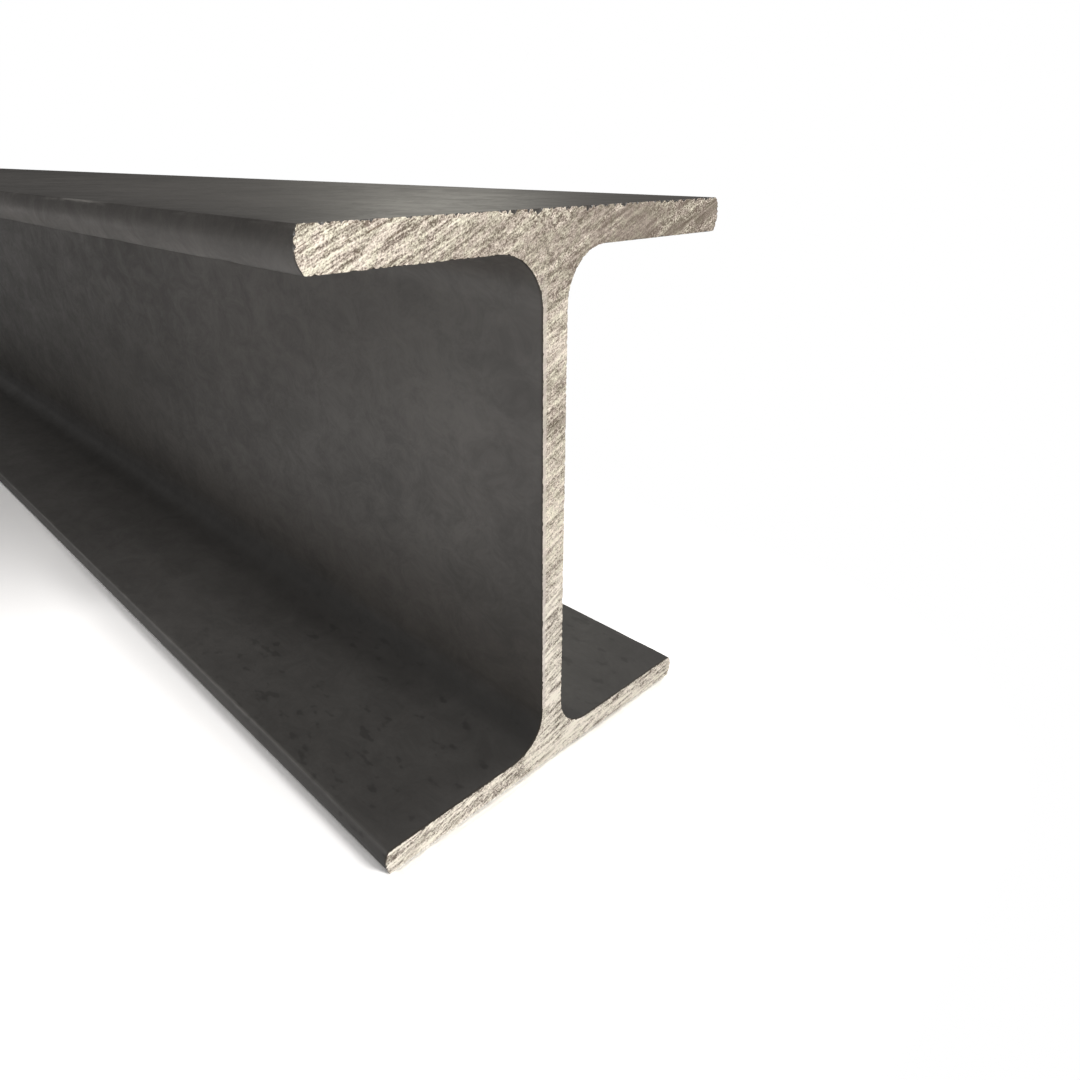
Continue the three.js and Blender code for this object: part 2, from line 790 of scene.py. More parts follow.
        # The triangulation works in single precision, and only the very same numbers leave no gap at the rim
        rim = row.flat.astype(np.float32).astype(float)
        inner = self.cut_points(rim)
        flat = np.vstack([rim, inner])
        loop = list(range(len(rim)))
        edges = [(place, (place + 1) % len(rim)) for place in loop]
        ends = [Vector(point) for point in flat]
        faces, sources = geometry.delaunay_2d_cdt(ends, edges, [loop], INSIDE_ONLY, self.weld, True)[2:4]
        numbers = np.array([source[0] for source in sources])
        triangles = numbers[np.array(faces)]
        kept = (triangles >= len(rim)).any(axis=1)
        kept[~kept] = within(flat[triangles[~kept]].mean(axis=1), rim)
        triangles = triangles[kept]
        marks = self.saw_marks_at(inner, back)
        inward = -1.0 if back else 1.0
        y = inward * (marks[Mark.SAW_DEPTH] * self.saw.deepest - self.length / 2)
        first = self.stock.add_points(np.stack([inner[:, 0], y, inner[:, 1]], axis=1), marks)
        for picked in (triangles[:, ::-1] if back else triangles).tolist():
            band = self.sheet.band(float(flat[picked, 1].mean()))
            places = [self.sheet.on_cut(flat[one, 0], flat[one, 1], band, back) for one in picked]
            points = [row.point(one) if one < len(rim) else first + one - len(rim) for one in picked]
            self.stock.add_face(points, places, self.cut_finish)

    def build(self) -> bpy.types.Object:
        """Builds the skin from front to back, then both cuts.

        Returns:
            The finished piece.
        """
        front = [self.add_row(along, True) for along in self.close_rows]
        margin = self.close_rows[-1] + self.row_pitch / 2
        count = round((self.length - 2 * margin) / self.row_pitch)
        spread = np.linspace(margin, self.length - margin, count + 1)
        middle = [self.add_row(float(along), False) for along in spread]
        rear = [self.add_row(self.length - along, True) for along in reversed(self.close_rows)]
        for rows in (front, middle, rear):
            for near, far in zip(rows, rows[1:]):
                self.join_rows(near, far)
        self.fan_rows(front[-1], middle[0])
        self.fan_rows(rear[0], middle[-1])
        self.add_cut(front[0], False)
        self.add_cut(rear[-1], True)
        piece = self.stock.make(self.name)
        piece.data.set_sharp_from_angle(angle=self.crease)
        return piece

    def dress(self, piece: bpy.types.Object) -> None:
        """Gives the built beam its two finishes."""
        piece.data.materials.append(MillScale(self.section).material())
        piece.data.materials.append(SawnSteel().material())


# ----- Shader tools -----


@dataclass(frozen=True)
class Wire:
    """A node's output, whose arithmetic adds Math nodes."""

    board: "NodeBoard"
    socket: bpy.types.NodeSocket

    def maths(self, operation: str, other: "Wire | float", flip: bool = False) -> "Wire":
        """Adds a Math node with this wire and another term, which goes first when flipped."""
        first, second = (other, self) if flip else (self, other)
        return self.board.add("ShaderNodeMath", {"operation": operation}, {0: first, 1: second})

    def __add__(self, other: "Wire | float") -> "Wire":
        """Sum."""
        return self.maths("ADD", other)

    def __radd__(self, other: float) -> "Wire":
        """Sum, with the number first."""
        return self.maths("ADD", other, flip=True)

    def __sub__(self, other: "Wire | float") -> "Wire":
        """Difference."""
        return self.maths("SUBTRACT", other)

    def __rsub__(self, other: float) -> "Wire":
        """Difference, with the number first."""
        return self.maths("SUBTRACT", other, flip=True)

    def __mul__(self, other: "Wire | float") -> "Wire":
        """Product."""
        return self.maths("MULTIPLY", other)

    def __rmul__(self, other: float) -> "Wire":
        """Product, with the number first."""
        return self.maths("MULTIPLY", other, flip=True)


@dataclass(frozen=True)
class Layer:
    """One layer of noise: how long its marks are, in the place's own unit, and how strongly they show."""

    lengths: Lengths
    share: float
    seed: float
    detail: float = 1.0
    roughness: float = 0.5
    bend: float = 0.0


@dataclass(frozen=True)
class Patch:
    """A soft-edged patch of a surface: how much it adds, and the ramps that bound it along each axis."""

    share: float = 1.0
    x: tuple[Span, ...] = ()
    along: tuple[Span, ...] = ()
    z: tuple[Span, ...] = ()


@dataclass(frozen=True)
class NodeBoard:
    """A node tree that is built one call a node."""

    tree: bpy.types.NodeTree

    def add(self, kind: str, settings: dict[str, object], inputs: dict[int | str, object],
            output: int | str = 0) -> Wire:
        """Adds a node, sets it up and then fills its sockets.

        Args:
            kind: The node's type.
            settings: The node's own properties, set first.
            inputs: The value or wire for each socket, by name or number.
            output: The output to hand back.

        Returns:
            The output as a wire.
        """
        node = self.tree.nodes.new(kind)
        for name, value in settings.items():
            setattr(node, name, value)
        for name, value in inputs.items():
            if isinstance(value, Wire):
                self.tree.links.new(value.socket, node.inputs[name])
            else:
                node.inputs[name].default_value = value
        return Wire(self, node.outputs[output])

    def vector(self, operation: str, *terms: object, output: int | str = 0) -> Wire:
        """Adds a Vector Math node, whose terms are vectors or colours, each a wire or numbers."""
        return self.add("ShaderNodeVectorMath", {"operation": operation}, dict(enumerate(terms)), output)

    def scaled(self, vector: Wire, share: Wire | float) -> Wire:
        """Multiplies a place or a colour by a number."""
        return self.add("ShaderNodeVectorMath", {"operation": "SCALE"}, {0: vector, "Scale": share})

    def flat(self, x: Wire, z: Wire) -> Wire:
        """A place on the section, from how far across and how far up it lies."""
        return self.add("ShaderNodeCombineXYZ", {}, {"X": x, "Y": 0.0, "Z": z})

    def axes(self, vector: Wire) -> list[Wire]:
        """A vector's three numbers."""
        return [self.add("ShaderNodeSeparateXYZ", {}, {"Vector": vector}, axis) for axis in "XYZ"]

    def site(self, unit: float) -> "Site":
        """Reads the object's point that is being coloured, counted in a unit given in metres."""
        place = self.scaled(self.add("ShaderNodeTexCoord", {}, {}, "Object"), 1 / unit)
        return Site(self, place, *self.axes(place))

    def mark(self, mark: Mark) -> Wire:
        """Reads one of the mesh's marks."""
        return self.add("ShaderNodeAttribute", {"attribute_name": mark.value}, {}, "Fac")

    def layers(self, place: Wire, layers: tuple[Layer, ...]) -> Wire:
        """Adds up layers of soft noise, each from minus to plus half its share.

        Args:
            place: Where to read them.
            layers: The layers.

        Returns:
            The sum, about 0.
        """
        total = 0.0
        for layer in layers:
            rate = tuple(1 / length for length in layer.lengths)
            shift = (layer.seed, layer.seed * 2, layer.seed * 3)
            spot = self.vector("ADD", self.vector("MULTIPLY", place, rate), shift)
            sockets = {"Vector": spot, "Scale": 1.0, "Detail": layer.detail, "Roughness": layer.roughness,
                       "Distortion": layer.bend}
            total = total + layer.share * (self.add("ShaderNodeTexNoise", {}, sockets, "Fac") - 0.5)
        return total

    def ramp(self, value: Wire, low: float, high: float, start: float = 0.0, end: float = 1.0) -> Wire:
        """Goes smoothly from start to end as the value goes from low to high, which may be below low."""
        sockets = {"Value": value, "From Min": low, "From Max": high, "To Min": start, "To Max": end}
        return self.add("ShaderNodeMapRange", {"interpolation_type": "SMOOTHSTEP"}, sockets)

    def mix(self, share: Wire, low: Wire | Colour, high: Wire | Colour) -> Wire:
        """Mixes two colours: the first where the share is 0, the second where it is 1."""
        colours = {MIX_SHARE: share, MIX_FIRST: low, MIX_SECOND: high}
        return self.add("ShaderNodeMix", {"data_type": "RGBA"}, colours, MIX_RESULT)

    def coat(self, look: dict[str, object], relief: Wire, strength: float) -> None:
        """Makes the surface one plain shader, with its sockets by name, over a relief in metres."""
        normal = self.add("ShaderNodeBump", {}, {"Height": relief, "Distance": 1.0, "Strength": strength})
        self.surface(self.add("ShaderNodeBsdfPrincipled", {}, look | {"Normal": normal}))

    def surface(self, shader: Wire, output: str = "ShaderNodeOutputMaterial") -> None:
        """Makes a shader the tree's own surface."""
        self.tree.links.new(shader.socket, self.tree.nodes.new(output).inputs["Surface"])


@dataclass(frozen=True)
class Site:
    """The point that a material colours: its place, and how far across, along and up it lies."""

    board: NodeBoard
    place: Wire
    x: Wire
    along: Wire
    z: Wire

    def on(self, patch: Patch) -> Wire:
        """Works out how much a patch adds at the point.

        Args:
            patch: The patch.

        Returns:
            The patch's share inside it, and 0 beyond its ramps.
        """
        axes = ((self.x, patch.x), (self.along, patch.along), (self.z, patch.z))
        ramps = (self.board.ramp(value, *span) for value, spans in axes for span in spans)
        return math.prod(ramps, start=patch.share)

    def total(self, start: Wire | float, *patches: Patch) -> Wire:
        """A number and what each patch adds to it."""
        return sum((self.on(patch) for patch in patches), start)


def new_material(name: str) -> tuple[bpy.types.Material, NodeBoard]:
    """Makes a material with an empty node tree.

    Args:
        name: The material's name.

    Returns:
        The material, and a board on its tree.
    """
    material = bpy.data.materials.new(name)
    material.use_nodes = True
    material.node_tree.nodes.clear()
    return material, NodeBoard(material.node_tree)


# ----- The finishes -----
# Their patches and reaches are in millimetres on the beam, whose near end lies at -500.


@dataclass(frozen=True)
class MillScale:
    """The dark grey scale of hot rolling, faintly clouded, with smears along the beam."""

    section: RolledSection
    name: str = "mill_scale"
    dark: Colour = (0.0320, 0.0298, 0.0275, 1.0)
    light: Colour = (0.0530, 0.0495, 0.0458, 1.0)
    # The colour of bare metal, also used for the highlights painted along the corner rounds
    worn: Colour = (0.17, 0.165, 0.155, 1.0)
    dark_line: Colour = (0.022, 0.017, 0.010, 1.0)
    foot_tint: Colour = (0.965, 1.0, 1.035, 1.0)
    metallic: float = 0.0
    specular: float = 0.5
    bump: float = 0.6
    foot: Patch = Patch(z=((25.0, 15.0),))
    left: Patch = Patch(x=((4.0, -4.0),))

    # Clouds and grain
    mottles: tuple[Layer, ...] = (
        Layer((38.0, 60.0, 38.0), 0.4, 1.7, detail=2.0, bend=0.4),
        Layer((12.0, 17.0, 12.0), 0.8, 4.1, detail=4.0, roughness=0.85, bend=0.6),
        Layer((5.0, 46.0, 5.0), 0.1, 8.3, detail=2.0),
    )
    mottle: float = 0.86
    foot_mottle: Patch = Patch(-0.32, z=foot.z)
    top_mottle: Patch = Patch(0.1, z=((185.0, 187.5),))
    front_mottle: Patch = Patch(0.5, along=((-410.0, -470.0),), z=top_mottle.z)
    grains: tuple[Layer, ...] = (Layer((0.9, 1.1, 0.9), 0.05, 2.9, detail=3.0, roughness=0.6),)
    tone_range: Span = (-0.18, 0.18)
    grain_height: float = 0.8 * MM
    mottle_height: float = 0.06 * MM

    # Light and shade painted into the colour of the left side
    # Painted shade in the lower hollow, weaker near the open end, with a small painted lift just beyond it
    web_painted_shade: float = 0.22
    foot_painted_shade: Patch = Patch(0.18, z=foot.z)
    open_end: Patch = Patch(-0.6, along=((-420.0, -480.0),), z=((13.0, 10.0),))
    hollow: Span = (24.0, 3.5)
    beyond: Span = (12.0, 32.0, 1.0, 1.08)
    # Painted shade over a band low in the hollow, painted light higher on the web, along the foot and under
    # the top flange, and painted shade near the end
    root: Patch = Patch(-0.18, z=((13.5, 17.0), (23.5, 20.5)))
    low_web_painted_light: Patch = Patch(0.14, z=((22.5, 27.0), (66.0, 46.0)))
    foot_painted_light: Patch = Patch(0.32, x=((-34.0, -56.0),), along=((-430.0, -350.0),), z=foot.z)
    near_end_painted_shade: Patch = Patch(-0.1, along=((-468.0, -494.0),))
    roof_painted_light: Patch = Patch(0.95, x=((-72.0, -66.0),), z=((168.5, 175.0), (183.0, 179.0)))
    # Painted shade along the top of the upper flange's left edge, and painted light on the edge's lower part
    rim_painted_shade: Patch = Patch(-0.31, x=((-24.0, -70.0),), along=((-500.0, -480.0, 0.3, 1.0),),
                            z=((182.0, 186.5),))
    rim_painted_light: Patch = Patch(0.24, x=((-72.6, -73.3),), z=((182.5, 179.5), (176.8, 178.3)))
    # Painted light on the upper web, fading towards the near end except right under the top flange
    high: Patch = Patch(x=left.x, along=((-180.0, -300.0),), z=((85.0, 135.0), (178.0, 170.0)))
    high_top: Patch = Patch(z=((152.0, 165.0),))
    off_end: Patch = Patch(along=((-490.0, -430.0),))
    upper_web_painted_light: float = 0.3
    high_gloss: float = 0.05

    # Dark spots on the foot, bare metal chipped along the corners, light lines painted along the corner
    # rounds as highlights, and the dark line beside the cut
    spots: tuple[Layer, ...] = (Layer((4.0, 8.0, 4.0), 1.0, 21.3, detail=2.0),)
    spot_range: Span = (0.1, 0.2)
    spotted: Patch = Patch(-0.3, along=((-300.0, -380.0),), z=foot.z)
    chips: tuple[Layer, ...] = (Layer((2.0, 16.0, 2.0), 1.0, 6.6, detail=3.0, roughness=0.6),)
    chip_range: Span = (0.02, 0.25, 0.0, 0.3)
    chipped: Span = (0.5, 1.0)
    rubbed: Span = (0.85, 1.0)
    # Light lines painted along the corner rounds as highlights
    arris_glints: tuple[Patch, ...] = (
        Patch(0.08, z=((14.0, 10.0), (5.0, 8.0))),
        Patch(0.16, along=((-470.0, -430.0), (-290.0, -340.0)), z=((14.0, 10.0), (5.0, 8.0))),
        Patch(0.5, x=((-60.0, -70.0),), along=((-390.0, -380.0), (-352.0, -362.0)), z=((186.0, 187.5),)),
    )
    # The scale is darker and rougher within about a millimetre of the cut, between the flanges
    dark_line_reach: Span = (1.3, 0.2)
    dark_line_share: float = 0.75

    # Roughness
    rough_range: Span = (-0.25, 0.25, 0.51, 0.35)
    dark_line_rough: float = 0.2
    root_rough: Patch = Patch(0.12, x=left.x, z=root.z)
    top_rough: Patch = Patch(along=((-496.0, -410.0, -0.04, 0.08),), z=top_mottle.z)
    scuffed_from: Span = (73.6, 74.4)
    scuffed: Patch = Patch(z=((14.0, 10.0),))
    scuffed_rough: float = 0.86

    def left_shade(self, site: Site, inner: Wire) -> Wire:
        """Paints shade and light into the left side's colour: darker in the lower hollow, lighter away from
        it and out along the foot.

        Args:
            site: The point on the beam.
            inner: 1 between the flanges, 0 on their outer faces.

        Returns:
            The share of the colour that stays.
        """
        board, shape = site.board, self.section
        reach = board.flat(site.x + shape.web / 2 / MM, site.z - shape.flange / MM)
        gap = board.vector("LENGTH", reach, output="Value")
        # Painted shade in the hollow, then the painted light and shade of each patch
        dark = site.total(self.web_painted_shade, self.foot_painted_shade) * site.total(1.0, self.open_end)
        shade = (1.0 - dark * board.ramp(gap, *self.hollow)) * board.ramp(gap, *self.beyond)
        for patch in (self.root, self.low_web_painted_light, self.foot_painted_light, self.near_end_painted_shade):
            shade = shade * site.total(1.0, patch)
        shade = site.total(1.0 + inner * (shade - 1.0), self.roof_painted_light)
        return 1.0 + site.on(self.left) * (shade - 1.0)

    def wear_and_glints(self, site: Site) -> Wire:
        """Finds the bare metal chipped on the corner rounds, and the light lines painted along them as
        highlights.

        Args:
            site: The point on the beam.

        Returns:
            The share of bare metal and of painted highlight.
        """
        board = site.board
        arris = board.mark(Mark.ARRIS)
        chips = board.ramp(board.layers(site.place, self.chips), *self.chip_range)
        arris_glints = board.ramp(arris, *self.rubbed) * site.total(0.0, *self.arris_glints)
        return board.ramp(arris, *self.chipped) * chips + arris_glints

    def material(self) -> bpy.types.Material:
        """Builds the material.

        Returns:
            The material.
        """
        material, board = new_material(self.name)
        site = board.site(MM)
        to_face = site.z.maths("MINIMUM", self.section.depth / MM - site.z)
        inner = board.ramp(to_face, *(height / MM for height in self.section.inner_from))
        dark_line = inner * board.ramp(board.mark(Mark.MARGIN) * (1 / MM), *self.dark_line_reach)
        # Where light is painted on the upper web
        off_end = site.on(self.off_end)
        high = site.on(self.high) * (off_end + site.on(self.high_top) * (1.0 - off_end))
        clouded = site.total(self.mottle, self.foot_mottle, self.top_mottle, self.front_mottle)
        tone = board.layers(site.place, self.mottles) * clouded
        grain = board.layers(site.place, self.grains)
        spots = board.ramp(board.layers(site.place, self.spots), *self.spot_range)
        # The painted light and shade scale the colour, as do the dark spots on the foot
        shade = self.left_shade(site, inner) * (1.0 + spots * site.on(self.spotted))
        shade = shade * (1.0 + self.upper_web_painted_light * high) * site.total(1.0, self.rim_painted_shade, self.rim_painted_light)
        colour = board.mix(board.ramp(tone + grain, *self.tone_range), self.dark, self.light)
        tint = board.mix(site.on(self.foot), WHITE, self.foot_tint)
        colour = board.vector("MULTIPLY", board.scaled(colour, shade), tint)
        colour = board.mix(self.wear_and_glints(site), colour, self.worn)
        colour = board.mix(self.dark_line_share * dark_line, colour, self.dark_line)
        rough = board.ramp(tone, *self.rough_range) - self.high_gloss * high + self.dark_line_rough * dark_line
        rough = site.total(rough, self.root_rough, self.top_rough)
        scuffed = board.ramp(site.x.maths("ABSOLUTE", 0.0), *self.scuffed_from) * site.on(self.scuffed)
        rough = rough + (self.scuffed_rough - rough) * scuffed
        relief = self.grain_height * grain + self.mottle_height * tone
        board.coat({"Base Color": colour, "Metallic": self.metallic, "Roughness": rough,
                    "Specular IOR Level": self.specular}, relief, self.bump)
        return material


@dataclass(frozen=True)
class SawnSteel:
    """Freshly sawn steel: pale streaks and dark grooves, crossed by fine bright and dark grains."""

    name: str = "sawn_steel"
    pit: Colour = (0.12, 0.095, 0.072, 1.0)
    stops: tuple[tuple[Span, Colour], ...] = (
        ((-0.15, 0.35), (0.27, 0.235, 0.197, 1.0)),
        ((0.05, 0.6), (0.50, 0.455, 0.38, 1.0)),
        ((0.4, 1.0), (0.79, 0.738, 0.635, 1.0)),
    )
    pink: Colour = (1.02, 0.992, 1.005, 1.0)
    green: Colour = (0.985, 1.003, 0.965, 1.0)
    cool: Colour = (0.98, 1.0, 1.05, 1.0)
    rubbed: Colour = (0.56, 0.51, 0.475, 1.0)
    rust: Colour = (0.13, 0.085, 0.05, 1.0)
    pale: Colour = (0.93, 0.90, 0.85, 1.0)
    metallic: float = 0.25
    roughness: float = 0.55
    specular: float = 0.4
    bump: float = 0.5
    grain_height: float = 0.1 * MM
    head: Patch = Patch(z=((160.0, 176.0),))
    low: Patch = Patch(z=((100.0, 60.0),))
    foot: Patch = Patch(z=((14.0, 8.0),))
    right: Patch = Patch(x=((-78.0, 68.0),), z=head.z)
    strip: Patch = Patch(x=((-3.0, -3.9), (-8.0, -5.5)), z=((24.0, 32.0), (176.0, 160.0)))

    # Smears, which soften the streaks and grains, and the duller right half of the head, darker partly from a
    # smear and partly from painted shade
    smears: tuple[Layer, ...] = (Layer((16.0, 1.0, 3.2), 1.0, 9.7, detail=2.0),)
    smeared: Span = (0.06, 0.2)
    smear_dark: float = 0.16
    smear_grain: float = 0.6
    smear_streak: float = 0.3
    right_comb: Span = (-0.05, 0.12, 0.6, 0.2)
    right_grain: Span = (-0.05, 0.12, 0.85, 0.0)
    right_smear_and_shade: Span = (-0.05, 0.12, 0.33, 0.23)

    # Streaks along the grooves, nearly level at the very foot
    combs: tuple[Layer, ...] = (Layer((10.0, 1.0, 0.62), 1.6, 7.4),)
    comb: float = 0.42
    head_comb: Patch = Patch(0.8, x=((-10.0, -50.0),), z=head.z)
    bands: tuple[Layer, ...] = (
        Layer((18.0, 1.0, 2.6), 0.45, 2.2),
        Layer((9.0, 1.0, 1.2), 0.5, 6.1),
    )
    band: float = 1.6
    band_changes: tuple[Patch, ...] = (Patch(-1.2, z=head.z), Patch(1.1, z=low.z), Patch(0.3, z=foot.z))
    band_slant: float = math.tan(math.radians(6))
    levelled: Patch = Patch(z=((18.0, 8.0),))
    groove_tone_and_shade: float = 0.25
    strip_streak: float = 0.4

    # Grains across the grooves, and short strokes lower down
    grains: tuple[Layer, ...] = (
        Layer((0.62, 1.0, 0.46), 1.3, 5.1),
        Layer((0.30, 1.0, 0.26), 1.5, 8.8),
    )
    low_grain: Patch = Patch(-0.6, z=low.z)
    strokes: tuple[Layer, ...] = (Layer((0.7, 1.0, 0.32), 1.3, 17.2),)
    stroke_slant: float = math.radians(-50.0)
    blobs: tuple[Layer, ...] = (Layer((1.6, 1.0, 1.0), 0.9, 3.3),)
    blob: float = 0.7
    low_blob: Patch = Patch(0.6, z=low.z)
    core_blob: Patch = Patch(0.5, x=((-30.0, -12.0), (30.0, 15.0)), z=head.z)
    low_calm: Patch = Patch(1.1, z=low.z)
    strip_grain: float = 0.6
    top_grain: Patch = Patch(0.25, z=((178.0, 170.0), *head.z))

    # Tone and colour
    tone: float = 0.43
    tone_changes: tuple[Patch, ...] = (
        Patch(0.13, z=((135.0, 85.0),)),
        Patch(0.06, z=foot.z),
        Patch(-0.1, x=((-48.0, -62.0),), z=foot.z),
    )
    hues: tuple[Layer, ...] = (Layer((3.4, 1.0, 2.4), 1.0, 14.6),)
    hue_range: Span = (-0.12, 0.12)
    cooled: Patch = Patch(0.5, z=low.z)
    strip_share: float = 0.5
    cracks: tuple[Layer, ...] = (Layer((7.0, 1.0, 0.5), 1.0, 12.4),)
    crack_range: Span = (0.2, 0.27)
    cracked: Patch = Patch(0.8, x=((-20.0, -45.0),), z=head.z)
    frays: tuple[Layer, ...] = (Layer((0.8, 0.8, 0.8), 1.2, 41.2), Layer((0.35, 0.35, 0.35), 0.96, 43.9))
    fringe: Span = (1.1, 0.0, 0.0, 0.8)

    def streaks(self, site: Site, sawn: Wire, across: Wire) -> Wire:
        """Draws the streaks that run with the blade.

        Args:
            site: The point on the cut.
            sawn: Its place along and across the grooves.
            across: Its place across the grooves.

        Returns:
            The streaks, about 0.
        """
        board = site.board
        level = across + (site.z - site.x * self.band_slant - across) * site.on(self.levelled)
        streak = board.layers(sawn, self.combs) * site.total(self.comb, self.head_comb)
        dulled = site.on(self.right) * board.ramp(board.layers(sawn, self.smears), *self.right_comb)
        bands = board.layers(board.flat(site.x, level), self.bands)
        streak = streak * (1.0 - dulled) + bands * site.total(self.band, *self.band_changes)
        # Deeper grooves are darker: partly their own tone, partly painted shade in them
        return streak + self.groove_tone_and_shade * (0.5 - board.mark(Mark.SAW_DEPTH))

    def grain(self, site: Site, sawn: Wire, streak: Wire) -> Wire:
        """Draws the grains, which keep off the bright streaks lower down.

        Args:
            site: The point on the cut.
            sawn: Its place along and across the grooves.
            streak: The streaks.

        Returns:
            The grains, about 0.
        """
        board = site.board
        turn = {"Vector": site.place, "Angle": self.stroke_slant}
        turned = board.add("ShaderNodeVectorRotate", {"rotation_type": "Y_AXIS"}, turn)
        grain = board.layers(sawn, self.grains) * site.total(1.0, self.low_grain)
        grain = grain + board.layers(turned, self.strokes) * site.on(self.low)
        grain = grain + board.layers(sawn, self.blobs) * site.total(self.blob, self.low_blob, self.core_blob)
        return grain * (1.0 - site.on(self.low_calm) * streak)

    def colour(self, site: Site, sawn: Wire, tone: Wire) -> Wire:
        """Turns the tone into a colour, with its drift of hue, its cracks and the pale torn foot.

        Args:
            site: The point on the cut.
            sawn: Its place along and across the grooves.
            tone: The tone, from about 0 in a groove to about 1 on a streak.

        Returns:
            The colour.
        """
        board = site.board
        colour = self.pit
        for span, shade in self.stops:
            colour = board.mix(board.ramp(tone, *span), colour, shade)
        hue = board.mix(board.ramp(board.layers(sawn, self.hues), *self.hue_range), self.pink, self.green)
        hue = board.mix(site.on(self.cooled), hue, self.cool)
        colour = board.mix(self.strip_share * site.on(self.strip), colour, self.rubbed)
        crack = board.ramp(board.layers(sawn, self.cracks), *self.crack_range) * site.on(self.cracked)
        colour = board.mix(crack, board.vector("MULTIPLY", colour, hue), self.rust)
        fringe = board.ramp(site.z + board.layers(site.place, self.frays), *self.fringe)
        return board.mix(fringe, colour, self.pale)

    def material(self) -> bpy.types.Material:
        """Builds the material.

        Returns:
            The material.
        """
        material, board = new_material(self.name)
        site = board.site(MM)
        across = board.mark(Mark.ACROSS_SAW) * (1 / MM)
        sawn = board.flat(site.x, across)
        streak = self.streaks(site, sawn, across)
        strip, right = site.on(self.strip), site.on(self.right)
        grain = self.grain(site, sawn, streak) * (1.0 - self.strip_grain * strip)
        streak = streak * (1.0 - self.strip_streak * strip)
        smears = board.layers(sawn, self.smears)
        smear = board.ramp(smears, *self.smeared) * (1.0 - site.on(self.head))
        shown = (1.0 - self.smear_grain * smear) * (1.0 - right * board.ramp(smears, *self.right_grain))
        grain = grain * shown * site.total(1.0, self.top_grain)
        tone = self.tone + streak * (1.0 - self.smear_streak * smear) + grain - self.smear_dark * smear
        # The right half of the head is darker, partly a smear and partly painted shade
        tone = site.total(tone - right * board.ramp(smears, *self.right_smear_and_shade), *self.tone_changes)
        board.coat({"Base Color": self.colour(site, sawn, tone), "Metallic": self.metallic,
                    "Roughness": self.roughness, "Specular IOR Level": self.specular},
                   self.grain_height * grain, self.bump)
        return material


# ----- The studio, in metres -----


@dataclass(frozen=True)
class Softbox:
    """A soft lamp that looks at the beam's near end, with its bearing counted from the beam's own line."""

    name: str
    bearing: float
    height_angle: float
    distance: float
    width: float
    height: float
    power: float
    tint: tuple[float, float, float] = ROOM_TINT[:3]
    skips_floor: bool = True

    def hang(self, aim: Vector, skipped: bpy.types.Collection) -> None:
        """Hangs the lamp.

        Args:
            aim: The point that it looks at.
            skipped: What it leaves unlit, if it skips the floor.
        """
        turn, rise = math.radians(self.bearing), math.radians(self.height_angle)
        way = Vector((math.sin(turn) * math.cos(rise), math.cos(turn) * math.cos(rise), math.sin(rise)))
        lamp = bpy.data.lights.new(self.name, "AREA")
        lamp.shape = "RECTANGLE"
        lamp.size, lamp.size_y = self.width, self.height
        lamp.energy = self.power
        lamp.color = self.tint
        holder = bpy.data.objects.new(self.name, lamp)
        holder.location = aim + way * self.distance
        holder.rotation_euler = (-way).to_track_quat("-Z", "Y").to_euler()
        holder.visible_camera = False
        if self.skips_floor:
            holder.light_linking.receiver_collection = skipped
        bpy.context.scene.collection.objects.link(holder)


